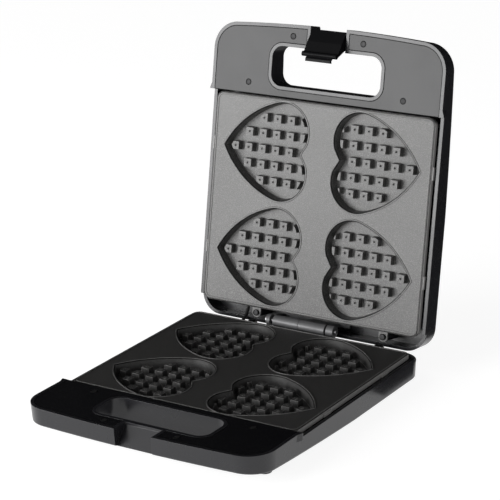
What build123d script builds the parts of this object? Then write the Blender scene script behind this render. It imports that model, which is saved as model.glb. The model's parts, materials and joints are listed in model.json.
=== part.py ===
from build123d import *
import os

os.makedirs("parts", exist_ok=True)

# overall sizes in millimetres; v is a distance in front of the hinge axis, z = 0 is the floor
HALF_W = 124.4          # housing half width at the rim
FRONT_V = 283.0         # front of the handle bar at the middle
SIDE_V = 279.6          # front of the handle bar where the corners start
CORNER_R = 26.0
REAR_R = 22.0
REAR_Y = 7.0            # rear wall behind the hinge axis
FOOT_H = 4.0
BASE_DEPTH = 24.0       # plate face down to the underside of the base
LID_DEPTH = 28.0        # plate face up to the top of the lid
FRONT_DEPTH = 15.4      # same depth at the handle bar
WALL = 2.5
PLATE_Z = FOOT_H + BASE_DEPTH
GAP = 3.0               # between the two plate faces when closed
HINGE_Y = 106.15        # puts the middle of the open object at y = 0
HINGE_Z = PLATE_Z + GAP / 2
OPEN = 100.9            # lid opening in the photographed pose
RIM = 1.3               # handle rim above the plate face
SIDE_RIM = -3.8         # rim beside the plates
REAR_RIM = -7.7         # rim behind the hinge, low enough for the lid to lean back
DRAFT = 1.6             # how far the walls draw in over their depth
BELLY_V0, BELLY_V1, BELLY_V2 = 120.0, 215.0, 292.0   # start, middle and end of the rising underside
BAY_INSET = 3.7         # bay wall inside the outline, clear of the plate by 2 mm
HANDLE_INSET = 5.0      # hollow of the handle inside the outline
BOSS_R, POST_R, PAD_R = 4.2, 3.2, 4.0
WIDE = 200.0            # more than any half width, for cutting strips

# handle openings and cover
HANDLE_V = 213.3        # where the handle cover meets the plate
HOLE_W, HOLE_V0, HOLE_V1, HOLE_R = 117.6, 223.5, 261.3, 11.0
NOTCH_W = 38.4
NOTCH_V = 266.0
LIP = 3.2
GROOVE = 0.4
COVER_T = 2.3
COVER_SCREWS = [(-83.4, 224.0), (83.4, 224.0), (-37.6, 271.5), (37.6, 271.5)]
HEAD_R, HEAD_H, SHANK_R = 2.8, 1.3, 1.4

# cooking plates
PLATE_SIDE, PLATE_FRONT = 5.9, 1.1      # plate edge inside the housing's rim and behind the cover
PLATE_W, PLATE_V0, PLATE_V1, PLATE_R = 2 * (HALF_W - PLATE_SIDE), 8.6, HANDLE_V - PLATE_FRONT, 8.0
PLATE_T, SKIRT_H, SKIRT_T = 2.6, 4.3, 2.2
HEART_X, HEART_V = 59.5, (60.4, 161.5)
HEART_DEPTH, HEART_DRAFT, CUP_T = 9.5, 9.0, 2.2
PILLAR, PITCH, PILLAR_TOP = 8.6, 15.1, 2.8
LUGS = [(-57.7, 3.5), (81.4, 3.5)]
REST_POSTS = [(0, 205), (-112, 205), (112, 205)]
LUG_TOP, LUG_T = 2.0, 2.5

# hinge
BARREL_R, PIN_R, RUN_FIT = 5.7, 2.5, 0.06
BASE_KNUCKLES = [(-33.7, -5.9), (24.8, 32.2)]
LID_KNUCKLES = [(-41.0, -37.3), (-5.6, 22.9)]
LEAF_T = 3.0

# latch, drawn closed
LATCH_V, LATCH_Z, LATCH_W, TONGUE_W = 270.0, 11.0, 36.6, 26.8
LATCH_PIN_R, LATCH_R, LATCH_SWING = 1.5, 4.0, 57.0

# heating
TUBE_R = 3.2
TUBE_DEPTH = HEART_DEPTH + CUP_T + TUBE_R
SHIELD_T, SHIELD_EDGE, SHIELD_V0, SHIELD_V1 = 0.6, 1.4, 34.0, 148.0
SHIELD_LIFT = 1.6
SHIELD_PADS = [(-90, 42), (90, 42), (-90, 140), (90, 140)]

# feet, cord inlet, lamps and the screws of the hinge leaves
FEET = [(-100, 22), (100, 22), (-104, 240), (104, 240)]
FOOT_R = 7.0
GLAND_X, GLAND_Z, GLAND_R = -88.0, -14.5, 5.0
LENS_X, LENS_V, LENS_R = (-9.0, 9.0), 106.0, 3.0
LEAF_SCREWS = [(-30, 12), (0, 12), (24, 12)]

hinge_axis = Axis((0, HINGE_Y, HINGE_Z), (1, 0, 0))


def at(x, v, z=0.0):
    """Point given across the width, in front of the hinge and above the lower plate face."""
    return (x, HINGE_Y - v, PLATE_Z + z)


def level(z):
    return Plane.XY.offset(PLATE_Z + z)


def to_lid(part, open_angle=OPEN):
    """Turn a piece of the lower half into its twin in the lid, standing open."""
    twin = mirror(part, about=Plane.XY.offset(HINGE_Z))
    return twin.rotate(hinge_axis, -open_angle)


def finish(part, label):
    part.label = label
    export_step(part, f"parts/{label}.step")


def outline(inset=0.0):
    """Plan outline of a housing half: bowed front, round corners, straight sides."""
    w, corner, rear = HALF_W - inset, CORNER_R - inset, REAR_R - inset
    y_rear, y_side, y_front = HINGE_Y + REAR_Y - inset, HINGE_Y - SIDE_V + inset, HINGE_Y - FRONT_V + inset
    with BuildSketch(mode=Mode.PRIVATE) as plan:
        with BuildLine():
            ThreePointArc((corner - w, y_side), (0, y_front), (w - corner, y_side))
            RadiusArc((w - corner, y_side), (w, y_side + corner), -corner)
            Line((w, y_side + corner), (w, y_rear - rear))
            RadiusArc((w, y_rear - rear), (w - rear, y_rear), -rear)
            Line((w - rear, y_rear), (rear - w, y_rear))
            RadiusArc((rear - w, y_rear), (-w, y_rear - rear), -rear)
            Line((-w, y_rear - rear), (-w, y_side + corner))
            RadiusArc((-w, y_side + corner), (corner - w, y_side), -corner)
        make_face()
    return plan.sketch


def strip(x0, x1, v0, v1):
    """Plan rectangle between two widths and two distances from the hinge."""
    with BuildSketch(mode=Mode.PRIVATE) as area:
        with Locations(((x0 + x1) / 2, HINGE_Y - (v0 + v1) / 2)):
            Rectangle(x1 - x0, v1 - v0)
    return area.sketch


def hand_hole(grow=0.0):
    with BuildSketch(mode=Mode.PRIVATE) as area:
        with Locations((0, HINGE_Y - (HOLE_V0 + HOLE_V1) / 2)):
            RectangleRounded(HOLE_W + 2 * grow, HOLE_V1 - HOLE_V0 + 2 * grow, HOLE_R + grow)
    return area.sketch


def handle_area(inset, notch_v):
    """Handle region inside the rim, with the hand hole and the notch taken out."""
    area = outline(inset) & strip(-WIDE, WIDE, HANDLE_V, 300)
    area -= hand_hole(inset)
    return area - strip(-NOTCH_W / 2 - inset, NOTCH_W / 2 + inset, notch_v - inset, 300)


def side_profile(points):
    """Sketch on the side plane from (v, z) points measured at the lower plate face."""
    with BuildSketch(Plane.YZ, mode=Mode.PRIVATE) as profile:
        with BuildLine():
            Polyline(*[(HINGE_Y - v, PLATE_Z + z) for v, z in points], close=True)
        make_face()
    return profile.sketch


def below_belly(depth, front_depth, lift=0.0):
    """Block under the curved underside, which rises towards the handle."""
    back, front = (HINGE_Y - BELLY_V0, PLATE_Z - depth), (HINGE_Y - BELLY_V2, PLATE_Z - front_depth + 0.8)
    middle = (HINGE_Y - BELLY_V1, (back[1] + front[1]) / 2 - 0.7)
    with BuildSketch(Plane.YZ, mode=Mode.PRIVATE) as profile:
        with BuildLine():
            ThreePointArc(back, middle, front)
            Polyline(front, (front[0], PLATE_Z - depth - 9), (HINGE_Y + 20, PLATE_Z - depth - 9),
                     (HINGE_Y + 20, back[1]), back)
        make_face()
    return Pos(0, 0, lift) * extrude(profile.sketch, amount=150, both=True, mode=Mode.PRIVATE)


def cavity(plan, top, depth, front_depth):
    """Hollow with straight walls whose floor keeps one wall thickness above the underside."""
    block = extrude(Pos(0, 0, PLATE_Z + top) * plan, amount=-40, mode=Mode.PRIVATE)
    return block - below_belly(depth, front_depth, WALL)


def housing(depth, is_lid):
    """Moulded half: thin walls round the plate, a hollow handle with its rim and bosses."""
    notch_back = HOLE_V1 - 2 if is_lid else NOTCH_V
    front_depth = FRONT_DEPTH + (0.6 if is_lid else 0.0)
    with BuildPart() as body:
        # walls drawn in a little towards the outside
        with BuildSketch(level(RIM)):
            add(outline())
        with BuildSketch(level(-depth)):
            add(outline(DRAFT))
        loft()
        # the underside rises towards the handle
        add(below_belly(depth, front_depth), mode=Mode.SUBTRACT)
        fillet(body.faces().sort_by(Axis.Z)[0].edges(), 2.2)
        # small wings where the handle rim steps down to the plate
        for side in (-1, 1):
            with BuildSketch(level(RIM)):
                with BuildLine():
                    Polyline(
                        (side * (HALF_W - 2), HINGE_Y - HANDLE_V - 9),
                        (side * (HALF_W - 0.2), HINGE_Y - HANDLE_V - 7),
                        (side * (HALF_W + 1.8), HINGE_Y - HANDLE_V - 1.2),
                        (side * (HALF_W + 1.8), HINGE_Y - HANDLE_V),
                        (side * (HALF_W - 2), HINGE_Y - HANDLE_V),
                        close=True,
                    )
                make_face()
            extrude(amount=-6.5)
        # low rim beside the plate, lower still behind the hinge
        with BuildSketch(level(SIDE_RIM)):
            add(strip(-WIDE, WIDE, -30, HANDLE_V))
        extrude(amount=20, mode=Mode.SUBTRACT)
        with BuildSketch(level(REAR_RIM)):
            add(strip(-WIDE, WIDE, -30, 12))
        extrude(amount=20, mode=Mode.SUBTRACT)
        # inside of the plate bay
        bay = outline(BAY_INSET) & strip(-WIDE, WIDE, -30, HANDLE_V - 0.4)
        add(cavity(bay, RIM, depth, front_depth), mode=Mode.SUBTRACT)
        # cover seat and hollow handle
        with BuildSketch(level(RIM)):
            add(handle_area(LIP, notch_back))
        extrude(amount=-(COVER_T + 0.2), mode=Mode.SUBTRACT)
        with BuildSketch(mode=Mode.PRIVATE) as pocket:
            add(handle_area(HANDLE_INSET, notch_back) - strip(-WIDE, WIDE, 0, HANDLE_V + 2))
            with Locations([at(x, v)[:2] for x, v in COVER_SCREWS]):
                Circle(BOSS_R, mode=Mode.SUBTRACT)
        add(cavity(pocket.sketch, RIM - COVER_T - 0.2, depth, front_depth), mode=Mode.SUBTRACT)
        with BuildSketch(level(RIM + 1)):
            add(hand_hole())
        extrude(amount=-60, mode=Mode.SUBTRACT)
        if is_lid:
            # open notch for the latch and holes for its pin
            with BuildSketch(level(RIM + 1)):
                add(strip(-NOTCH_W / 2, NOTCH_W / 2, notch_back - 3, 300))
            extrude(amount=-60, mode=Mode.SUBTRACT)
            with Locations(Plane(origin=at(0, LATCH_V, GAP - LATCH_Z), z_dir=(1, 0, 0))):
                Cylinder(LATCH_PIN_R + 0.02, NOTCH_W + 2 * LIP + 3, mode=Mode.SUBTRACT)
        else:
            # sloping recess that pushes the latch out as the lid comes down
            ramp = side_profile([(NOTCH_V, 5), (NOTCH_V, -1), (281.0, -17.4), (300, -17.4), (300, 5)])
            extrude(ramp, amount=NOTCH_W / 2, both=True, mode=Mode.SUBTRACT)
        # posts for the plate lugs and for its front edge
        floor = -depth + WALL
        with BuildSketch(level(floor)):
            with Locations([at(x, v)[:2] for x, v in LUGS]):
                Circle(BOSS_R + 0.2)
        extrude(amount=-LUG_TOP - LUG_T - floor)
        rest_floor = -(depth + front_depth) / 2 + 0.4
        with BuildSketch(level(rest_floor)):
            with Locations([at(x, v)[:2] for x, v in REST_POSTS]):
                Circle(POST_R)
        extrude(amount=-PLATE_T - rest_floor)
        with BuildSketch(level(floor)):
            with Locations([at(x, v)[:2] for x, v in SHIELD_PADS]):
                Circle(PAD_R)
        extrude(amount=SHIELD_LIFT)
        screw_holes = [at(x, v, RIM + 1) for x, v in COVER_SCREWS] + [at(x, v, 0) for x, v in LUGS]
        for point in screw_holes:
            with Locations(Plane(origin=point)):
                Cylinder(SHANK_R + 0.05, 11.5, align=(Align.CENTER, Align.CENTER, Align.MAX),
                         mode=Mode.SUBTRACT)
        for x, v in LEAF_SCREWS:
            with Locations(Plane(origin=at(x, v, floor))):
                Cylinder(SHANK_R + 0.05, WALL - 0.8, align=(Align.CENTER, Align.CENTER, Align.MAX),
                         mode=Mode.SUBTRACT)
        if not is_lid:
            # sleeves for the feet, gland bore in the rear wall
            for x, v in FEET:
                with Locations(Plane(origin=at(x, v, -BASE_DEPTH))):
                    Cylinder(FOOT_R + 1.5, BASE_DEPTH - 12.9, align=(Align.CENTER, Align.CENTER, Align.MIN))
                    Cylinder(2.1, 6, align=(Align.CENTER, Align.CENTER, Align.MIN), mode=Mode.SUBTRACT)
            with Locations(Plane(origin=at(GLAND_X, 0, GLAND_Z), z_dir=(0, 1, 0))):
                Cylinder(GLAND_R, 30, mode=Mode.SUBTRACT)
        else:
            with Locations([at(x, LENS_V, -depth + 3) for x in LENS_X]):
                Cylinder(LENS_R, 12, mode=Mode.SUBTRACT)
    return body.part


def heart(grow=0.0):
    """Heart lying on its side with the tip towards +x, centred on the row line."""
    with BuildSketch(mode=Mode.PRIVATE) as shape:
        with BuildLine():
            for s in (1, -1):
                ThreePointArc((105.8 - HEART_X, 0), (78.6 - HEART_X, s * 31.2),
                              (50.0 - HEART_X, s * 45.6))
                ThreePointArc((50.0 - HEART_X, s * 45.6), (19.4 - HEART_X, s * 35.4), (15.6 - HEART_X, s * 10.5))
                Line((15.6 - HEART_X, s * 10.5), (21.9 - HEART_X, 0))
        make_face()
        if grow:
            offset(amount=grow, kind=Kind.INTERSECTION)
    return shape.sketch


def hearts(grow=0.0):
    """All four hearts of a plate, tips outwards."""
    with BuildSketch(mode=Mode.PRIVATE) as group:
        for v in HEART_V:
            for side in (-1, 1):
                turn = 0 if side > 0 else 180
                with Locations(Location((side * HEART_X, HINGE_Y - v, 0), (0, 0, turn))):
                    add(heart(grow))
    return group.sketch


def pillar_tops():
    """Square grid inside the hearts, cut back so that a channel runs round the wall."""
    with BuildSketch(mode=Mode.PRIVATE) as group:
        for v in HEART_V:
            for start, side in ((35.3, -1), (33.6, 1)):
                spots = [(side * (start + i * PITCH), HINGE_Y - v + j * PITCH)
                         for i in range(-1, 5) for j in range(-2, 3)]
                with Locations(spots):
                    Rectangle(PILLAR, PILLAR)
        add(hearts(-4.6), mode=Mode.INTERSECT)
        pieces = [f for f in group.sketch.faces() if f.area > 9]
    return Sketch() + pieces


def cooking_plate():
    """Cast plate: skirt, four heart recesses with pillars, edge beads and screw lugs."""
    mid_v = (PLATE_V0 + PLATE_V1) / 2
    with BuildPart() as plate:
        with BuildSketch(level(0)):
            with Locations((0, HINGE_Y - mid_v)):
                RectangleRounded(PLATE_W, PLATE_V1 - PLATE_V0, PLATE_R)
        extrude(amount=-SKIRT_H)
        with BuildSketch(level(-SKIRT_H)):
            with Locations((0, HINGE_Y - mid_v)):
                RectangleRounded(PLATE_W - 2 * SKIRT_T, PLATE_V1 - PLATE_V0 - 2 * SKIRT_T, PLATE_R - SKIRT_T)
        extrude(amount=SKIRT_H - PLATE_T, mode=Mode.SUBTRACT)
        fillet(plate.faces().sort_by(Axis.Z)[-1].edges(), 0.9)
        # cups under the recesses, then the recesses with their draft
        with BuildSketch(level(-PLATE_T)):
            add(hearts(CUP_T - 0.6))
        extrude(amount=-(HEART_DEPTH + CUP_T - PLATE_T))
        with BuildSketch(level(0)):
            add(hearts())
        extrude(amount=-HEART_DEPTH, taper=HEART_DRAFT, mode=Mode.SUBTRACT)
        with BuildSketch(level(-HEART_DEPTH)):
            add(pillar_tops())
        extrude(amount=HEART_DEPTH - PILLAR_TOP, taper=4)
        # fine beads round the edge and round every heart
        with BuildSketch(level(0)):
            with Locations((0, HINGE_Y - mid_v)):
                RectangleRounded(PLATE_W - 3.6, PLATE_V1 - PLATE_V0 - 3.6, PLATE_R - 1.8)
                RectangleRounded(PLATE_W - 5.6, PLATE_V1 - PLATE_V0 - 5.6, PLATE_R - 2.8,
                                 mode=Mode.SUBTRACT)
            add(hearts(1.5))
            add(hearts(0.5), mode=Mode.SUBTRACT)
        extrude(amount=0.45)
        # casting tabs on the sides beside the heart tips
        with BuildSketch(level(-0.9)):
            for v in HEART_V:
                for side in (-1, 1):
                    with Locations((side * (PLATE_W / 2 + 0.3), HINGE_Y - v)):
                        Rectangle(1.4, 12)
        extrude(amount=-(SKIRT_H - 1.2))
        # lugs that carry the plate at the hinge side
        with BuildSketch(level(-LUG_TOP)):
            for x, v in LUGS:
                with Locations(at(x, v)[:2]):
                    Circle(4.6)
                add(strip(x - 4.6, x + 4.6, v, PLATE_V0 + SKIRT_T / 2))
            with Locations([at(x, v)[:2] for x, v in LUGS]):
                Circle(SHANK_R + 0.2, mode=Mode.SUBTRACT)
        extrude(amount=-LUG_T)
    return plate.part


def cover(notch_back):
    """Flat inlay over the handle with countersunk screw seats."""
    with BuildPart() as panel:
        with BuildSketch(level(RIM - COVER_T - 0.2)):
            add(handle_area(LIP + GROOVE, notch_back) - strip(-WIDE, WIDE, 0, HANDLE_V + 0.4))
        extrude(amount=COVER_T)
        for x, v in COVER_SCREWS:
            with Locations(Plane(origin=at(x, v, RIM - 0.2))):
                Cylinder(HEAD_R + 0.15, HEAD_H, align=(Align.CENTER, Align.CENTER, Align.MAX),
                         mode=Mode.SUBTRACT)
                Cylinder(SHANK_R + 0.1, 4, align=(Align.CENTER, Align.CENTER, Align.MAX),
                         mode=Mode.SUBTRACT)
    return panel.part


def screws(points, top, length):
    """Pan-head screws with their head tops at one height above the plate face."""
    with BuildPart() as group:
        for x, v in points:
            with Locations(Plane(origin=at(x, v, top))):
                Cylinder(HEAD_R, HEAD_H, align=(Align.CENTER, Align.CENTER, Align.MAX))
                Cylinder(SHANK_R, HEAD_H + length, align=(Align.CENTER, Align.CENTER, Align.MAX))
    return group.part


def element():
    """Bent tubular heater pressed against the undersides of the heart cups."""
    with BuildPart() as heater:
        with BuildLine(level(-TUBE_DEPTH)) as path:
            FilletPolyline(*[(x, HINGE_Y - v) for x, v in
                             [(-17, 26), (-58, 26), (-58, 190), (58, 190), (58, 26), (17, 26)]], radius=16)
        start = path.line @ 0
        with BuildSketch(Plane(origin=start, z_dir=path.line % 0)):
            Circle(TUBE_R)
        sweep()
        for x in (-17, 17):
            with Locations(Plane(origin=at(x, 26, -TUBE_DEPTH), z_dir=(-x, 0, 0))):
                Cylinder(1.2, 7, align=(Align.CENTER, Align.CENTER, Align.MIN))
    return heater.part


def shield(depth):
    """Pressed sheet between the heater and the housing floor, edges turned up."""
    bottom = -depth + WALL + SHIELD_LIFT
    with BuildPart() as sheet:
        with BuildSketch(level(bottom)):
            add(strip(-100, 100, SHIELD_V0, SHIELD_V1))
        extrude(amount=SHIELD_EDGE)
        with BuildSketch(level(bottom + SHIELD_T)):
            add(strip(-100 + SHIELD_T, 100 - SHIELD_T, SHIELD_V0 + SHIELD_T, SHIELD_V1 - SHIELD_T))
        extrude(amount=SHIELD_EDGE, mode=Mode.SUBTRACT)
    return sheet.part


def leaf(knuckles, depth):
    """Cast hinge half: knuckles on webs that stand on a foot plate."""
    floor = PLATE_Z - depth + WALL
    with BuildPart() as half:
        for x0, x1 in knuckles:
            with Locations(Plane(origin=(x0, HINGE_Y, HINGE_Z), z_dir=(1, 0, 0))):
                Cylinder(BARREL_R, x1 - x0, align=(Align.CENTER, Align.CENTER, Align.MIN))
            with BuildSketch(Plane.XY.offset(floor)):
                with Locations(((x0 + x1) / 2, HINGE_Y - 1.5)):
                    Rectangle(x1 - x0, LEAF_T)
            extrude(amount=HINGE_Z - floor)
        with BuildSketch(Plane.XY.offset(floor)):
            add(strip(-41, 34, 0.1, 18))
            with Locations([at(x, v)[:2] for x, v in LEAF_SCREWS]):
                Circle(SHANK_R + 0.2, mode=Mode.SUBTRACT)
        extrude(amount=2.5)
        for x0, x1 in knuckles:
            with Locations(Plane(origin=(x0 - 1, HINGE_Y, HINGE_Z), z_dir=(1, 0, 0))):
                Cylinder(PIN_R + RUN_FIT, x1 - x0 + 2, align=(Align.CENTER, Align.CENTER, Align.MIN),
                         mode=Mode.SUBTRACT)
    return half.part


# lower half
base_shell = housing(BASE_DEPTH, is_lid=False)
finish(base_shell, "base_shell")
base_cover = cover(NOTCH_V)
finish(base_cover, "base_cover")
cover_screws = screws(COVER_SCREWS, RIM - 0.2, 7.0)
finish(Part() + cover_screws, "base_cover_screws")
plate = cooking_plate()
finish(Part() + plate, "lower_plate")
plate_screws = screws(LUGS, -LUG_TOP + HEAD_H, 8.0)
finish(Part() + plate_screws, "lower_plate_screws")
heater = element()
finish(Part() + heater, "lower_element")
finish(shield(BASE_DEPTH), "lower_shield")
base_leaf = leaf(BASE_KNUCKLES, BASE_DEPTH)
finish(base_leaf, "hinge_leaf_base")
finish(screws(LEAF_SCREWS, -BASE_DEPTH + WALL + 2.5 + HEAD_H, 4.1), "hinge_screws_base")

with BuildPart() as hinge_pin:
    with Locations(Plane(origin=(-43, HINGE_Y, HINGE_Z), z_dir=(1, 0, 0))):
        Cylinder(PIN_R, 77.4, align=(Align.CENTER, Align.CENTER, Align.MIN))
        Cylinder(PIN_R + 1.2, 1.6, align=(Align.CENTER, Align.CENTER, Align.MIN))
    fillet(hinge_pin.edges().filter_by(GeomType.CIRCLE).group_by(Axis.X)[-1], 0.6)
finish(hinge_pin.part, "hinge_pin")

with BuildPart() as feet:
    for x, v in FEET:
        with Locations(Plane(origin=(x, HINGE_Y - v, 0))):
            Cone(FOOT_R - 0.8, FOOT_R, FOOT_H, align=(Align.CENTER, Align.CENTER, Align.MIN))
            Cylinder(2.0, FOOT_H + 5.5, align=(Align.CENTER, Align.CENTER, Align.MIN))
finish(feet.part, "feet")

with BuildPart() as gland:
    inner_face, outer_face = BAY_INSET - REAR_Y, 0.6 - REAR_Y
    with Locations(Plane(origin=at(GLAND_X, inner_face + 1.6, GLAND_Z), z_dir=(0, 1, 0))):
        Cylinder(GLAND_R + 1.2, 1.6, align=(Align.CENTER, Align.CENTER, Align.MIN))
        Cylinder(GLAND_R - 0.1, 6.0, align=(Align.CENTER, Align.CENTER, Align.MIN))
    with Locations(Plane(origin=at(GLAND_X, outer_face, GLAND_Z), z_dir=(0, 1, 0))):
        Cylinder(GLAND_R + 0.9, 2.6, align=(Align.CENTER, Align.CENTER, Align.MIN))
    with Locations(Plane(origin=at(GLAND_X, 0, GLAND_Z), z_dir=(0, 1, 0))):
        Cylinder(3.3, 60, mode=Mode.SUBTRACT)
finish(gland.part, "cord_gland")

with BuildPart() as terminal_block:
    with BuildSketch(level(-BASE_DEPTH + WALL)):
        add(strip(-84, -50, 9, 20.5))
    extrude(amount=7.5)
    for x in (-78, -67, -56):
        with Locations(Plane(origin=at(x, 14.7, -BASE_DEPTH + WALL + 7.5))):
            Cylinder(3.4, 2.6, align=(Align.CENTER, Align.CENTER, Align.MAX), mode=Mode.SUBTRACT)
finish(terminal_block.part, "terminal_block")

with BuildPart() as thermostat:
    with Locations(Plane(origin=at(0, HEART_V[0], -PLATE_T))):
        Cylinder(7.6, 6.5, align=(Align.CENTER, Align.CENTER, Align.MAX))
        Cylinder(5.0, 9.0, align=(Align.CENTER, Align.CENTER, Align.MAX))
finish(thermostat.part, "thermostat")

with BuildPart() as thermal_fuse:
    with Locations(Plane(origin=at(0, 150, -PLATE_T - 2.2), z_dir=(0, 1, 0))):
        Cylinder(2.2, 16)
        Cylinder(0.7, 34)
finish(thermal_fuse.part, "thermal_fuse")

# upper half, standing open
lid_shell = to_lid(housing(LID_DEPTH, is_lid=True))
finish(lid_shell, "lid_shell")
finish(to_lid(cover(HOLE_V1 - 2)), "lid_cover")
finish(to_lid(cover_screws), "lid_cover_screws")
finish(to_lid(plate), "upper_plate")
finish(to_lid(plate_screws), "upper_plate_screws")
finish(to_lid(heater), "upper_element")
finish(to_lid(shield(LID_DEPTH)), "upper_shield")
finish(to_lid(leaf(LID_KNUCKLES, LID_DEPTH)), "hinge_leaf_lid")
finish(to_lid(screws(LEAF_SCREWS, -LID_DEPTH + WALL + 2.5 + HEAD_H, 4.1)), "hinge_screws_lid")

with BuildPart() as lenses:
    with Locations([at(x, LENS_V, -LID_DEPTH - 0.8) for x in LENS_X]):
        Cylinder(LENS_R - 0.1, 3.9, align=(Align.CENTER, Align.CENTER, Align.MIN))
    fillet(lenses.edges().group_by(Axis.Z)[0], 0.7)
finish(to_lid(lenses.part), "indicator_lenses")

with BuildPart() as latch_pin:
    with Locations(Plane(origin=at(0, LATCH_V, GAP - LATCH_Z), z_dir=(1, 0, 0))):
        Cylinder(LATCH_PIN_R, NOTCH_W + 2 * LIP)
finish(to_lid(latch_pin.part), "latch_pin")

# latch, drawn closed, then swung inwards and lifted with the open lid
with BuildPart() as latch:
    extrude(side_profile([(268.5, 14.4), (279.2, 16.2), (282.0, 15.4), (282.5, 2), (281.7, -9.6),
                          (279.3, -9.6), (279.9, 2), (279.4, 12.6), (270.5, 7.8)]),
            amount=LATCH_W / 2, both=True)
    extrude(side_profile([(279.3, -9.4), (281.8, -9.4), (282.5, -16.2), (281.2, -18.4),
                          (278.6, -16.9), (280.3, -15.6)]),
            amount=TONGUE_W / 2, both=True)
    with Locations(Plane(origin=at(0, LATCH_V, LATCH_Z), z_dir=(1, 0, 0))):
        Cylinder(LATCH_R, LATCH_W)
    with Locations(Plane(origin=at(0, 282.2, -11.3), z_dir=(1, 0, 0))):
        Cylinder(2.4, LATCH_W)
    for side in (-1, 1):
        cheek = side_profile([(269, 8), (280.5, 13), (281, -10), (279.3, -10)])
        extrude(Pos(side * (LATCH_W / 2 - 2), 0, 0) * cheek, amount=side * 2)
    with Locations(Plane(origin=at(0, LATCH_V, LATCH_Z), z_dir=(1, 0, 0))):
        Cylinder(LATCH_PIN_R + RUN_FIT, LATCH_W + 2, mode=Mode.SUBTRACT)
latch_axis = Axis(at(0, LATCH_V, LATCH_Z), (1, 0, 0))
latch_rest = latch.part.rotate(latch_axis, LATCH_SWING).rotate(hinge_axis, -OPEN)
finish(latch_rest, "latch")
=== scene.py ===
import json
import math

import bmesh
import bpy
from mathutils import Euler, Matrix, Vector


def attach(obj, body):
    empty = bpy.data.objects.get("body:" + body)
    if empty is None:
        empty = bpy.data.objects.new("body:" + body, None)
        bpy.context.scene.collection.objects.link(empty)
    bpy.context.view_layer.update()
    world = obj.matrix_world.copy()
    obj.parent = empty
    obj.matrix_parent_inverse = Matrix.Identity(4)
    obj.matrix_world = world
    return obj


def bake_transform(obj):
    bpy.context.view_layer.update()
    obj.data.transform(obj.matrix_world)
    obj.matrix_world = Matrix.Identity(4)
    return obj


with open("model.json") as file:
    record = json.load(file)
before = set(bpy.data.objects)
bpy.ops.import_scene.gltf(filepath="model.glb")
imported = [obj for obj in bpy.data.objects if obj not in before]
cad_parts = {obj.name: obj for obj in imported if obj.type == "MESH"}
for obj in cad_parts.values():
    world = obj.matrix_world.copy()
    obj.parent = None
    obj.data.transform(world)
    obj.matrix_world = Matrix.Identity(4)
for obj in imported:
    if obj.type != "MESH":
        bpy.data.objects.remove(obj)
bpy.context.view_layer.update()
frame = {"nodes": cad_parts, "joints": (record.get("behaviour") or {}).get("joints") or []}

# Housing halves: two injection-moulded shells in black gloss plastic, the lid standing open.
# Walls run round the plate bays and rise into hollow handles with a hand hole each;
# moulding leaves a faint orange peel, and handling dulls the arrises.
SHELL_BLACK = (0.0115, 0.0115, 0.0135, 1)
SHELL_WORN = (0.030, 0.030, 0.033, 1)
SHELL_ROUGH = 0.24
FLAT_AGREES, ARRIS_AGREES = 0.995, 0.80   # cosine between true and rounded normals
MIX_FIRST, MIX_SECOND, MIX_RESULT = 6, 7, 2   # colour sockets of the Mix node


class Signal:
    """One output of a shader node; arithmetic on it adds Math nodes."""

    def __init__(self, finish, socket):
        self.finish, self.socket = finish, socket

    def calculate(self, operation, first, second):
        return self.finish.node("ShaderNodeMath", {"operation": operation}, {0: first, 1: second})

    def __add__(self, other):
        return self.calculate("ADD", self, other)

    def __sub__(self, other):
        return self.calculate("SUBTRACT", self, other)

    def __mul__(self, other):
        return self.calculate("MULTIPLY", self, other)

    __radd__, __rmul__ = __add__, __mul__


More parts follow.
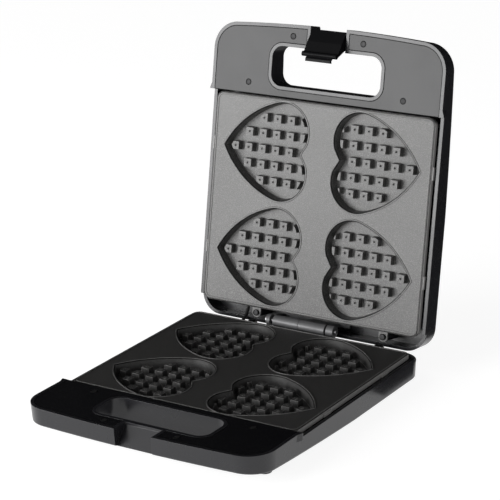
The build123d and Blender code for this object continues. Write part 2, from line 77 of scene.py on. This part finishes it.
class Finish:
    """A material being mixed: its shader, and the nodes that vary it over the surface."""

    def __init__(self, name, color, roughness, metallic=0.0, **constants):
        self.material = bpy.data.materials.new(name)
        self.material.use_nodes = True
        self.tree = self.material.node_tree
        self.shader = self.tree.nodes["Principled BSDF"]
        constants = {"Base Color": color, "Roughness": roughness, "Metallic": metallic, **constants}
        for socket, value in constants.items():
            self.shader.inputs[socket].default_value = value
        self.place = self.node("ShaderNodeTexCoord", output="Object")

    def node(self, kind, settings=None, inputs=None, output=0):
        made = self.tree.nodes.new(kind)
        for key, value in (settings or {}).items():
            setattr(made, key, value)
        for key, value in (inputs or {}).items():
            if isinstance(value, Signal):
                self.tree.links.new(value.socket, made.inputs[key])
            else:
                made.inputs[key].default_value = value
        return Signal(self, made.outputs[output])

    def grain(self, per_metre, detail=2.0, rough=0.5, stretch=(1, 1, 1)):
        """Noise with that many cells to a metre, drawn out along an axis by stretch."""
        place = self.place
        if stretch != (1, 1, 1):
            place = self.node("ShaderNodeVectorMath", {"operation": "MULTIPLY"}, {0: place, 1: stretch})
        return self.node("ShaderNodeTexNoise", None,
                         {"Vector": place, "Scale": per_metre, "Detail": detail, "Roughness": rough})

    def sharpen(self, signal, low, high):
        """Signal spread so that low becomes 0 and high becomes 1."""
        return self.node("ShaderNodeMapRange", {"clamp": True},
                         {0: signal, "From Min": low, "From Max": high})

    def edges(self, radius):
        """1 on arrises within about one radius, 0 on flats."""
        rounded = self.node("ShaderNodeBevel", {"samples": 4}, {"Radius": radius})
        flat = self.node("ShaderNodeNewGeometry", output="Normal")
        agree = self.node("ShaderNodeVectorMath", {"operation": "DOT_PRODUCT"},
                          {0: rounded, 1: flat}, output="Value")
        return self.sharpen(agree, FLAT_AGREES, ARRIS_AGREES)

    def blend(self, factor, first, second):
        return self.node("ShaderNodeMix", {"data_type": "RGBA"},
                         {"Factor": factor, MIX_FIRST: first, MIX_SECOND: second}, output=MIX_RESULT)

    def feed(self, socket, signal):
        self.tree.links.new(signal.socket, self.shader.inputs[socket])

    def relief(self, height, depth, soften=None):
        """Bump of that depth in metres, over normals softened at the arrises."""
        inputs = {"Height": height, "Distance": depth, "Strength": 1.0}
        if soften:
            inputs["Normal"] = self.node("ShaderNodeBevel", {"samples": 4}, {"Radius": soften})
        self.feed("Normal", self.node("ShaderNodeBump", None, inputs))

    def cover(self, *names):
        for name in names:
            piece = frame["nodes"][name] if isinstance(name, str) else name
            piece.data.materials.clear()
            piece.data.materials.append(self.material)


def gloss_plastic(name, color, worn, roughness, specular=0.5, soften=0.0005):
    """Moulded plastic with orange peel, smears of handling and paler arrises."""
    finish = Finish(name, color, roughness, **{"Specular IOR Level": specular})
    smear = finish.sharpen(finish.grain(22, 3, 0.6), 0.35, 0.7)
    wear = finish.edges(soften * 1.4)
    dust = finish.sharpen(finish.grain(2600, 1), 0.70, 0.80)
    finish.feed("Base Color", finish.blend(wear * 0.8 + dust * 0.25, color, worn))
    finish.feed("Roughness", roughness + smear * 0.07 + wear * 0.12 + dust * 0.15)
    finish.relief(finish.grain(420, 2), 0.00002, soften)
    return finish


gloss_plastic("shell black", SHELL_BLACK, SHELL_WORN, SHELL_ROUGH).cover("base_shell", "lid_shell")

# Handle covers: flat black inlays let into each handle inside the rim,
# smoother than the housing, held by four countersunk screws.
COVER_BLACK = (0.006, 0.006, 0.007, 1)
COVER_ROUGH, COVER_SHINE, COVER_ARRIS = 0.20, 0.26, 0.0003
gloss_plastic("cover black", COVER_BLACK, SHELL_WORN, COVER_ROUGH, COVER_SHINE,
              COVER_ARRIS).cover("base_cover", "lid_cover")

# Cooking plates: die-cast aluminium with a dark non-stick coat that is sprayed on, so a fine
# pale speck shows everywhere; the coat runs thin on arrises. A paler band along both side skirts is a painted
# highlight.
COAT_DARK = (0.026, 0.0255, 0.025, 1)
# The two plates share one coat; the lid's specks are painted paler and its sheen higher than the base's, as
# painted light.
COAT_SPECKS_LIT_AND_SHADED = {"lower": (0.050, 0.049, 0.048, 1), "upper": (0.19, 0.187, 0.182, 1)}
COAT_THIN_AND_HIGHLIGHT = (0.30, 0.295, 0.29, 1)
COAT_SHEEN_LIT_AND_SHADED = {"lower": 0.45, "upper": 0.75}
COAT_ROUGH = 0.42
SKIRT_HIGHLIGHT_BAND = (0.1172, 0.1180)   # distances from the middle where the painted highlight on the side skirts begins and is full


def nonstick(side):
    """Sprayed coat of one plate; the lid's copy is painted lighter, with paler specks and more sheen, and the
    base's copy darker: lit and shaded copies of one coat.
    """
    shine = {"Specular IOR Level": COAT_SHEEN_LIT_AND_SHADED[side]}
    finish = Finish(f"non-stick coat, {side}", COAT_DARK, COAT_ROUGH, **shine)
    speck = finish.sharpen(finish.grain(1300, 2, 0.7), 0.48, 0.66)
    thin = finish.edges(0.0007)
    cloud = finish.grain(14, 3)
    # Paler band on both side skirts, by distance from the middle: a painted highlight.
    across = finish.node("ShaderNodeSeparateXYZ", None, {0: finish.place})
    outward = finish.node("ShaderNodeMath", {"operation": "ABSOLUTE"}, {0: across})
    skirt_highlight = finish.sharpen(outward, *SKIRT_HIGHLIGHT_BAND)
    speckled = finish.blend(speck, COAT_DARK, COAT_SPECKS_LIT_AND_SHADED[side])
    finish.feed("Base Color", finish.blend(thin * 0.7 + skirt_highlight * 0.45, speckled, COAT_THIN_AND_HIGHLIGHT))
    finish.feed("Roughness", 0.38 + speck * 0.10 + cloud * 0.08 - thin * 0.10)
    finish.relief(speck + finish.grain(500, 2) * 0.8, 0.00005, 0.0005)
    return finish


lit_and_shaded_coats = {side: nonstick(side) for side in COAT_SPECKS_LIT_AND_SHADED}
for side, coat in lit_and_shaded_coats.items():
    coat.cover(f"{side}_plate")

# Ejector dimples: a small raised ring round a shallow pit in the middle of every whole pillar,
# left by the pins of the casting die; the ring is coated with the plate, and the pit is a flat dark disc laid
# just above the top as its painted shade.
DIMPLE_RADIUS, DIMPLE_WIRE, DIMPLE_LIFT = 0.00115, 0.00026, 0.00003
SHADE_DARK, SHADE_GRIT = (0.004, 0.004, 0.004, 1), (0.012, 0.012, 0.012, 1)
# Painted shade: a near-black matt finish laid wherever shade is painted, on the dimple pits, the seam and rim
# lines, the screw seats and the cross recesses of the screws.
dimple_shade = Finish("dimple shade", (0.006, 0.006, 0.006, 1), 0.6, **{"Specular IOR Level": 0.04})
dimple_grit = dimple_shade.grain(3000, 1)
dimple_shade.feed("Roughness", 0.5 + dimple_grit * 0.3)
dimple_shade.feed("Base Color", dimple_shade.blend(dimple_grit, SHADE_DARK, SHADE_GRIT))
dimple_shade.relief(dimple_grit, 0.00002)
PILLAR_DROP, PILLAR_FULL = 0.0028, 46e-6   # tops below the plate's face, and least area of a whole top
PILLAR_SPAN, PILLAR_LEVEL = 0.0058, 0.0001  # faces nearer than this share a top, and how level they lie
HALF_GAP = 0.0015                           # plate face to the hinge's own plane
hinge = Vector(frame["joints"][0]["pos_m"])
opened = math.radians(frame["joints"][0]["range_deg"][1])
face_height = hinge.z - HALF_GAP
to_lid = (Matrix.Translation(hinge) @ Matrix.Rotation(-opened, 4, "X")
          @ Matrix.Diagonal((1, 1, -1, 1)) @ Matrix.Translation(-hinge))
HALVES = (("base", "lower", None), ("lid", "upper", to_lid))


def pillar_middles():
    """Middles of the whole pillar tops, found on the lower plate's own mesh."""
    mesh = frame["nodes"]["lower_plate"].data
    level = face_height - PILLAR_DROP
    groups = {}
    for face in mesh.polygons:
        if abs(face.center.z - level) < PILLAR_LEVEL and face.normal.z > 0.99:
            near = [key for key, (total, area) in groups.items()
                    if (total / area - face.center).length < PILLAR_SPAN]
            key = near[0] if near else len(groups)
            total, area = groups.get(key, (Vector((0, 0, 0)), 0.0))
            groups[key] = (total + face.center * face.area, area + face.area)
    return [total / area for total, area in groups.values() if area > PILLAR_FULL]


def piece_from(name, mesh, finish, body=None, placed=None):
    """Named piece from a bmesh, with a finish, riding on a body unless none is named."""
    if placed is not None:
        bmesh.ops.transform(mesh, matrix=placed, verts=mesh.verts)
        if placed.determinant() < 0:
            bmesh.ops.reverse_faces(mesh, faces=mesh.faces)
    data = bpy.data.meshes.new(name)
    mesh.to_mesh(data)
    mesh.free()
    data.shade_smooth()
    piece = bpy.data.objects.new(name, data)
    bpy.context.scene.collection.objects.link(piece)
    finish.cover(piece)
    if body is not None:
        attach(piece, body)
    return piece


def turns(count):
    """Angles of one full turn in equal steps."""
    return [2 * math.pi * k / count for k in range(count)]


def bridge(mesh, here, there):
    """Band of faces between two closed rows of vertices."""
    for k in range(len(here)):
        after = (k + 1) % len(here)
        mesh.faces.new((here[k], here[after], there[after], there[k]))


def add_ring(mesh, middle, radius, wire, around=16, across=6):
    """Torus lying level, half sunk at its middle height."""
    rows = []
    for turn in turns(around):
        rows.append([])
        for angle in turns(across):
            reach = radius + wire * math.cos(angle)
            place = Vector((reach * math.cos(turn), reach * math.sin(turn), wire * math.sin(angle)))
            rows[-1].append(mesh.verts.new(middle + place))
    for i, here in enumerate(rows):
        bridge(mesh, rows[(i + 1) % around], here)


middles = pillar_middles()
for body, side, placed in HALVES:
    rings, pit_shades = bmesh.new(), bmesh.new()
    for middle in middles:
        add_ring(rings, middle, DIMPLE_RADIUS, DIMPLE_WIRE)
        level = Matrix.Translation(middle + Vector((0, 0, DIMPLE_LIFT)))
        # Each pit is a flat dark disc just above the pillar's top, painted shade in place of a hollow.
        bmesh.ops.create_circle(pit_shades, cap_ends=True, segments=16, radius=DIMPLE_RADIUS, matrix=level)
    piece_from(f"{side}_dimple_rings", rings, lit_and_shaded_coats[side], body, placed)
    piece_from(f"{side}_dimple_pit_shades", pit_shades, dimple_shade, body, placed)

# Seams and rims: thin dark tubes sunk into the faces as painted shadow lines, where each handle
# cover is let into its rim, and round each heart and along the plate's turned edge.
SEAM_RADIUS, SEAM_SINK = 0.00042, 0.00027
FACE_TOLERANCE = 0.00003
SAME_POINT = 1e-6
LEAST_SEAM, LEAST_RIM, LEAST_POINTS = 0.02, 0.08, 8   # widths and point counts of the rows that count


def rim_loops(node, level):
    """Closed rows of points where a node's flat face at one level ends."""
    mesh = bmesh.new()
    mesh.from_mesh(frame["nodes"][node].data)
    bmesh.ops.remove_doubles(mesh, verts=mesh.verts, dist=SAME_POINT)

    def flat(face):
        return face.normal.z > 0.999 and abs(face.calc_center_median().z - level) < FACE_TOLERANCE

    ends = {}
    for edge in mesh.edges:
        if len(edge.link_faces) == 2 and sum(flat(face) for face in edge.link_faces) == 1:
            here, there = (vertex.index for vertex in edge.verts)
            ends.setdefault(here, []).append(there)
            ends.setdefault(there, []).append(here)
    mesh.verts.ensure_lookup_table()
    loops = []
    while ends:
        at, row = min(ends), []
        while at is not None:
            row.append(mesh.verts[at].co.copy())
            onward = ends.pop(at)
            at = next((other for other in onward if other in ends), None)
        loops.append(row)
    mesh.free()
    return loops


def loop_width(row):
    xs = [point.x for point in row]
    return max(xs) - min(xs)


def add_shadow_line(mesh, row, around=6):
    """Closed thin tube along a closed row of points, sunk into the face."""
    rows = []
    for i, point in enumerate(row):
        ahead = (row[(i + 1) % len(row)] - row[i - 1]).normalized()
        outward = ahead.cross(Vector((0, 0, 1))).normalized()
        rows.append([mesh.verts.new(point + Vector((0, 0, SEAM_RADIUS * math.sin(angle) - SEAM_SINK))
                                    + outward * (SEAM_RADIUS * math.cos(angle)))
                     for angle in turns(around)])
    for i, here in enumerate(rows):
        bridge(mesh, here, rows[(i + 1) % len(rows)])


cover_level = max(v.co.z for v in frame["nodes"]["base_cover"].data.vertices)
cover_rows = rim_loops("base_cover", cover_level)
heart_rows = [row for row in rim_loops("lower_plate", face_height) if loop_width(row) > LEAST_RIM]
for body, side, placed in HALVES:
    for label, rows, slot in (("cover_seam_shadow", cover_rows, f"{body}_cover"),
                              ("plate_rim_shadows", heart_rows, "plates")):
        shadow_lines = bmesh.new()
        for row in rows:
            if len(row) > LEAST_POINTS and loop_width(row) > LEAST_SEAM:
                add_shadow_line(shadow_lines, row)
        piece_from(f"{body}_{label}", shadow_lines, dimple_shade, body, placed)

# Hinge: two steel leaves, each screwed into its housing, with round knuckles that turn on one
# drawn pin; the leaves are lacquered satin grey and the pins are left bare.
HINGE_GREY = (0.115, 0.115, 0.118, 1)


def satin_metal(name, color, roughness, metallic, streaks=(1, 1, 1)):
    """Metal with fine drawn or cast grain, dulled in patches."""
    finish = Finish(name, color, roughness, metallic)
    grain = finish.grain(700, 3, 0.6, streaks)
    patch = finish.sharpen(finish.grain(60, 3), 0.35, 0.7)
    wear = finish.edges(0.0004)
    dark = tuple(0.65 * c for c in color[:3]) + (1,)
    finish.feed("Base Color", finish.blend(grain * 0.5 + patch * 0.3 - wear * 0.4, color, dark))
    finish.feed("Roughness", roughness + grain * 0.08 + patch * 0.08 - wear * 0.08)
    finish.relief(grain, 0.00003, 0.0003)
    return finish


satin_metal("hinge lacquer", HINGE_GREY, 0.36, 0.25).cover("hinge_leaf_base", "hinge_leaf_lid")
satin_metal("drawn steel", (0.42, 0.42, 0.425, 1), 0.30, 1.0, (8, 1, 1)).cover("hinge_pin", "latch_pin")

# Screws: black-zinc tapping screws with low domed heads, each ringed by a near-black torus as the
# seat's painted shade; a cross recess is pressed into every head that shows, its faces painted dark as shade.
screw_steel = satin_metal("black zinc", (0.035, 0.035, 0.036, 1), 0.34, 0.8)
# Crowns a touch paler and rougher than the black zinc of the heads below, so each head's rim reads as a darker
# ring round its crown: a painted shade outline.
crown_zinc = satin_metal("crown zinc", (0.045, 0.045, 0.046, 1), 0.42, 0.8)
screw_steel.cover("base_cover_screws", "lid_cover_screws", "lower_plate_screws", "upper_plate_screws",
                  "hinge_screws_base", "hinge_screws_lid")

COVER_SPOTS = ((-0.0834, 0.2240), (0.0834, 0.2240), (-0.0376, 0.2715), (0.0376, 0.2715))
LUG_SPOTS = ((-0.0577, 0.0035), (0.0814, 0.0035))
COVER_HEAD, LUG_HEAD = 0.0011, -0.0007
HEAD_RADIUS, CROWN = 0.0023, 0.00026
SEAT_RADIUS, SEAT_WIRE = 0.0027, 0.00038
CROSS_HALF_WIDTH, CROSS_REACH, CROSS_DEPTH = 0.00045, 0.0017, 0.8   # depth as a share of the crown
EDGE_STAND, CELL_REACH = 0.3, 0.97   # shares of the crown and of the head's radius
FIRST_TURN, NEXT_TURN = 0.5, 0.9     # how far each cross is turned from the last
CELLS = 24


def add_crown(mesh, middle, turn):
    """Domed top of a head on a fine grid, pressed down in a cross."""
    step = 2 * HEAD_RADIUS / CELLS
    corners, pressed = {}, set()

    def corner(i, j):
        if (i, j) not in corners:
            x, y = (i - CELLS / 2) * step, (j - CELLS / 2) * step
            out = min(1.0, math.hypot(x, y) / HEAD_RADIUS)
            p, q = x * math.cos(turn) - y * math.sin(turn), x * math.sin(turn) + y * math.cos(turn)
            crossed = min(abs(p), abs(q)) < CROSS_HALF_WIDTH and max(abs(p), abs(q)) < CROSS_REACH
            height = CROWN * (1 + EDGE_STAND - out ** 2)
            corners[(i, j)] = mesh.verts.new(middle + Vector((x, y, height)))
            if crossed:
                pressed.add(corners[(i, j)])
        return corners[(i, j)]

    for i in range(CELLS):
        for j in range(CELLS):
            if math.hypot(i + 0.5 - CELLS / 2, j + 0.5 - CELLS / 2) * step < HEAD_RADIUS * CELL_REACH:
                cell = mesh.faces.new((corner(i, j), corner(i + 1, j), corner(i + 1, j + 1), corner(i, j + 1)))
                # Cells of the cross take the second finish, painted dark as the recess's shade.
                cell.material_index = 1 if sum(vertex in pressed for vertex in cell.verts) > 2 else 0
    for vertex in pressed:
        vertex.co.z -= CROWN * CROSS_DEPTH


for body, side, placed in HALVES:
    crowns, seat_shades = bmesh.new(), bmesh.new()
    for number, (x, v) in enumerate(COVER_SPOTS + LUG_SPOTS):
        height = face_height + (COVER_HEAD if (x, v) in COVER_SPOTS else LUG_HEAD)
        add_crown(crowns, Vector((x, hinge.y - v, height)), FIRST_TURN + NEXT_TURN * number)
        add_ring(seat_shades, Vector((x, hinge.y - v, height)), SEAT_RADIUS, SEAT_WIRE, 24)
    heads = piece_from(f"{body}_screw_crowns", crowns, crown_zinc, body, placed)
    # Second finish of the crowns: the painted shade of the cross recesses.
    heads.data.materials.append(dimple_shade.material)
    piece_from(f"{body}_screw_seat_shades", seat_shades, dimple_shade, body, placed)

# Latch: one black moulding with a hook and a lip, dull beside the covers,
# that swings on a steel pin in the lid's notch.
LATCH_BLACK, LATCH_WORN = (0.004, 0.004, 0.0045, 1), (0.016, 0.016, 0.017, 1)
gloss_plastic("latch black", LATCH_BLACK, LATCH_WORN, 0.26, 0.06, 0.0004).cover("latch")

# Feet: four round rubber buttons pressed into the underside of the base,
# matt and a little dusty.
RUBBER_BLACK, RUBBER_DUST = (0.012, 0.012, 0.012, 1), (0.05, 0.048, 0.045, 1)
rubber = Finish("foot rubber", RUBBER_BLACK, 0.75)
dusty = rubber.sharpen(rubber.grain(300, 3), 0.4, 0.75)
rubber.feed("Base Color", rubber.blend(dusty * 0.5, RUBBER_BLACK, RUBBER_DUST))
rubber.feed("Roughness", 0.7 + dusty * 0.2)
rubber.relief(dusty, 0.00005, 0.0005)
rubber.cover("feet")

# Cord gland: a black nylon bush pressed into the rear wall of the base,
# where the mains lead passes through.
gloss_plastic("gland nylon", (0.014, 0.014, 0.014, 1), SHELL_WORN, 0.45, soften=0.0003).cover("cord_gland")

# Lead sleeve: the wires to the lid's heater cross the hinge in one black sleeve,
# held near the base end by a tinned ferrule.
LEAD_ROUTE = ((-0.0700, 0.0960, 0.0170), (-0.0705, 0.1050, 0.0232), (-0.0715, 0.1130, 0.0262),
              (-0.0730, 0.1200, 0.0325), (-0.0740, 0.1235, 0.0420))
LEAD_RADIUS, FERRULE_RADIUS = 0.0016, 0.0021
ROUTE_STEPS = 6
SLEEVE_BLACK, FERRULE_TIN = (0.012, 0.012, 0.012, 1), (0.55, 0.55, 0.56, 1)


def smooth_route(stops, steps):
    """Points on a Catmull-Rom curve through the stops."""
    knots = [Vector(p) for p in (stops[0],) + tuple(stops) + (stops[-1],)]
    route = []
    for a, b, c, d in zip(knots, knots[1:], knots[2:], knots[3:]):
        for k in range(steps):
            t = k / steps
            route.append(0.5 * (2 * b + (c - a) * t + (2 * a - 5 * b + 4 * c - d) * t ** 2
                                + (3 * b - a - 3 * c + d) * t ** 3))
    return route + [knots[-1]]


def add_tube(mesh, route, radius, around=12):
    """Closed tube of one radius along a route."""
    rows = []
    for i, point in enumerate(route):
        ahead = (route[min(i + 1, len(route) - 1)] - route[max(i - 1, 0)]).normalized()
        outward = ahead.cross(Vector((1, 0, 0))).normalized()
        upward = ahead.cross(outward)
        rows.append([mesh.verts.new(point + radius * (math.cos(angle) * outward + math.sin(angle) * upward))
                     for angle in turns(around)])
    for here, there in zip(rows, rows[1:]):
        bridge(mesh, here, there)
    mesh.faces.new(rows[0])
    mesh.faces.new(rows[-1][::-1])


lead_route = smooth_route(LEAD_ROUTE, ROUTE_STEPS)
sleeve = bmesh.new()
add_tube(sleeve, lead_route, LEAD_RADIUS)
sleeve_finish = gloss_plastic("lead sleeve", SLEEVE_BLACK, SHELL_WORN, 0.5, soften=0.0003)
sleeve_piece = piece_from("lead_sleeve", sleeve, sleeve_finish)
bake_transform(sleeve_piece)
ferrule = bmesh.new()
add_tube(ferrule, lead_route[3:6], FERRULE_RADIUS)
tinned = satin_metal("tinned ferrule", FERRULE_TIN, 0.25, 1.0)
piece_from("lead_ferrule", ferrule, tinned, "base")

# Indicator lamps: two tinted polycarbonate lenses that snap into the top of the lid,
# lightly frosted inside so that the lamp spreads.
LENS_TINT, LENS_DEEP, LENS_PALE = (0.30, 0.03, 0.015, 1), (0.22, 0.02, 0.01, 1), (0.40, 0.05, 0.02, 1)
lens = Finish("lamp lens", LENS_TINT, 0.12, **{"Coat Weight": 0.5})
frost = lens.grain(900, 2)
lens.feed("Roughness", 0.08 + frost * 0.12)
lens.feed("Base Color", lens.blend(frost, LENS_DEEP, LENS_PALE))
lens.relief(frost, 0.00002, 0.0002)
lens.cover("indicator_lenses")

# Inside the bays: bent heater tubes under the plates, sheet-metal shields below them,
# and in the base a ceramic terminal block, a thermostat and a fuse in plain metal cans.
satin_metal("heater tube", (0.16, 0.15, 0.14, 1), 0.5, 0.9).cover("lower_element", "upper_element")
satin_metal("shield sheet", (0.62, 0.62, 0.63, 1), 0.28, 1.0, (1, 9, 9)).cover("lower_shield", "upper_shield")
satin_metal("control can", (0.45, 0.45, 0.46, 1), 0.35, 1.0).cover("thermostat", "thermal_fuse")
gloss_plastic("steatite", (0.62, 0.60, 0.55, 1), (0.75, 0.73, 0.70, 1), 0.5).cover("terminal_block")

# Studio: a pale floor that glows a little so that it stays white, a low white ring far behind,
# three soft boxes, three black cards that only reflections see, and the camera at the
# photograph's angle.
FLOOR_GLOW, FLOOR_ALBEDO = 0.87, 0.36
RING_GLOW = 1.0
RING_RADIUS, RING_HEIGHT, RING_SIDES = 4.0, 1.3, 96
DOME_GREY = 0.10


def paint(name, albedo, sheen, roughness=0.5, glow=None):
    """Plain paint of one grey, which glows white by the given strength."""
    material = bpy.data.materials.new(name)
    material.use_nodes = True
    sockets = material.node_tree.nodes["Principled BSDF"].inputs
    sockets["Base Color"].default_value = (albedo, albedo, albedo, 1)
    sockets["Roughness"].default_value = roughness
    sockets["Specular IOR Level"].default_value = sheen
    if glow is not None:
        sockets["Emission Color"].default_value = (1, 1, 1, 1)
        sockets["Emission Strength"].default_value = glow
    return material


bpy.ops.mesh.primitive_circle_add(vertices=RING_SIDES, radius=RING_RADIUS, fill_type="NGON")
floor = bpy.context.object
floor.data.materials.append(paint("floor paper", FLOOR_ALBEDO, 0.1, 0.9, FLOOR_GLOW))

bpy.ops.mesh.primitive_cylinder_add(vertices=RING_SIDES, radius=RING_RADIUS, depth=RING_HEIGHT,
                                    end_fill_type="NOTHING", location=(0, 0, RING_HEIGHT / 2))
ring = bpy.context.object
ring.data.materials.append(paint("backdrop white", 0, 0, glow=RING_GLOW))

world = bpy.data.worlds.new("studio dome")
bpy.context.scene.world = world
world.use_nodes = True
dome = world.node_tree
background = dome.nodes["Background"]
path = dome.nodes.new("ShaderNodeLightPath")
shade = dome.nodes.new("ShaderNodeMix")
shade.data_type = "RGBA"
shade.inputs[MIX_FIRST].default_value = (DOME_GREY, DOME_GREY, DOME_GREY, 1)
shade.inputs[MIX_SECOND].default_value = (1, 1, 1, 1)
dome.links.new(path.outputs["Is Camera Ray"], shade.inputs["Factor"])
dome.links.new(shade.outputs[MIX_RESULT], background.inputs["Color"])


def softbox(name, place, target, width, height, radiance):
    """Rectangular lamp of one radiance, facing its target."""
    lamp = bpy.data.lights.new(name, "AREA")
    lamp.shape, lamp.size, lamp.size_y = "RECTANGLE", width, height
    lamp.energy = radiance * math.pi * width * height
    stand = bpy.data.objects.new(name, lamp)
    stand.location = place
    stand.rotation_euler = (Vector(target) - Vector(place)).to_track_quat("-Z", "Y").to_euler()
    bpy.context.scene.collection.objects.link(stand)


def flag(name, corners, one_way=False):
    """Black card that only reflections see, and from its front alone if it is one way."""
    data = bpy.data.meshes.new(name)
    data.from_pydata(corners, [], [(0, 1, 2, 3)])
    card = bpy.data.objects.new(name, data)
    bpy.context.scene.collection.objects.link(card)
    card.visible_camera = card.visible_diffuse = card.visible_shadow = card.visible_transmission = False
    felt = paint("black felt", 0, 0)
    if one_way:
        tree = felt.node_tree
        choice, clear = tree.nodes.new("ShaderNodeMixShader"), tree.nodes.new("ShaderNodeBsdfTransparent")
        geometry = tree.nodes.new("ShaderNodeNewGeometry")
        tree.links.new(geometry.outputs["Backfacing"], choice.inputs["Fac"])
        tree.links.new(tree.nodes["Principled BSDF"].outputs[0], choice.inputs[1])
        tree.links.new(clear.outputs[0], choice.inputs[2])
        tree.links.new(choice.outputs[0], tree.nodes["Material Output"].inputs["Surface"])
    card.data.materials.append(felt)


flag("rear flag", [(-2.2, 0.44, 0.001), (1.3, 0.44, 0.001), (1.3, 0.44, 1.4), (-2.2, 0.44, 1.4)])
flag("lid flag", [(-0.135, 0.1035, 0.036), (0.135, 0.1035, 0.036),
                  (0.135, 0.15, 0.300), (-0.135, 0.15, 0.300)], one_way=True)
flag("side flag", [(0.130, 0.05, 0.0012), (1.1, 0.05, 0.0012), (1.1, 1.5, 0.0012), (0.130, 1.5, 0.0012)])
softbox("front box", (-0.95, -1.35, 0.42), (0, 0.1, 0.15), 1.5, 0.78, 8.4)
softbox("top box", (-0.75, -0.85, 1.45), (0, 0, 0.05), 1.1, 1.1, 1.2)
softbox("right box", (1.7, 0.3, 0.9), (0, 0, 0.1), 1.0, 1.0, 0.8)

CAMERA_PLACE = (0.96803, -1.46972, 0.73721)
CAMERA_TURN = (71.1915, 1.7566, 32.5228)
CAMERA_LENS, CAMERA_SENSOR = 150.16, 36.0
camera = bpy.data.objects.new("camera", bpy.data.cameras.new("camera"))
camera.data.lens, camera.data.sensor_width = CAMERA_LENS, CAMERA_SENSOR
camera.location = CAMERA_PLACE
camera.rotation_euler = Euler([math.radians(a) for a in CAMERA_TURN])
bpy.context.scene.collection.objects.link(camera)
bpy.context.scene.camera = camera
bpy.context.scene.view_settings.view_transform = "Standard"
